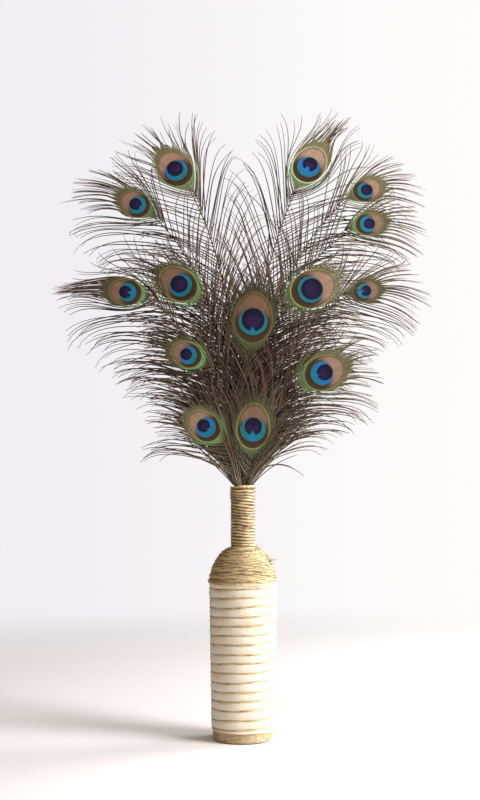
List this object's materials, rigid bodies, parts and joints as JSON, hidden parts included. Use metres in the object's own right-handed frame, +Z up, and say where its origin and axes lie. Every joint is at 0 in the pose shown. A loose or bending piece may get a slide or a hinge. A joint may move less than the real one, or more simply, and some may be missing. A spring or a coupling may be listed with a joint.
{
  "type": "peacock feathers in bottle vase",
  "caption": "Fan of peacock tail feathers with blue eyes and long loose barbs, standing in a slim bottle wound with gold thread and a soft white band.",
  "frame": {"origin": "centre of the bottle's flat base, on the surface it stands on", "axes": "+Z up along the bottle's axis; the fan of feathers faces -Y, and +X is to the right of someone who looks at it from the front"},
  "size_m": [0.459, 0.1645, 0.8055],
  "materials": {
    "glass": "gloss",
    "gold_wrap": "satin",
    "white_band": "matte",
    "gold_line": "satin",
    "feather": "satin"
  },
  "bodies": {
    "root": {"bottle": "glass", "neck_thread": "gold_wrap", "shoulder_thread": "gold_wrap", "foot_thread": "gold_wrap", "body_band": "white_band", "gold_thread": "gold_line", "feather_01": "feather", "feather_02": "feather", "feather_03": "feather", "feather_04": "feather", "feather_05": "feather", "feather_06": "feather", "feather_07": "feather", "feather_08": "feather", "feather_09": "feather", "feather_10": "feather", "feather_11": "feather", "feather_12": "feather", "feather_13": "feather", "feather_14": "feather"}
  },
  "joints": []
}
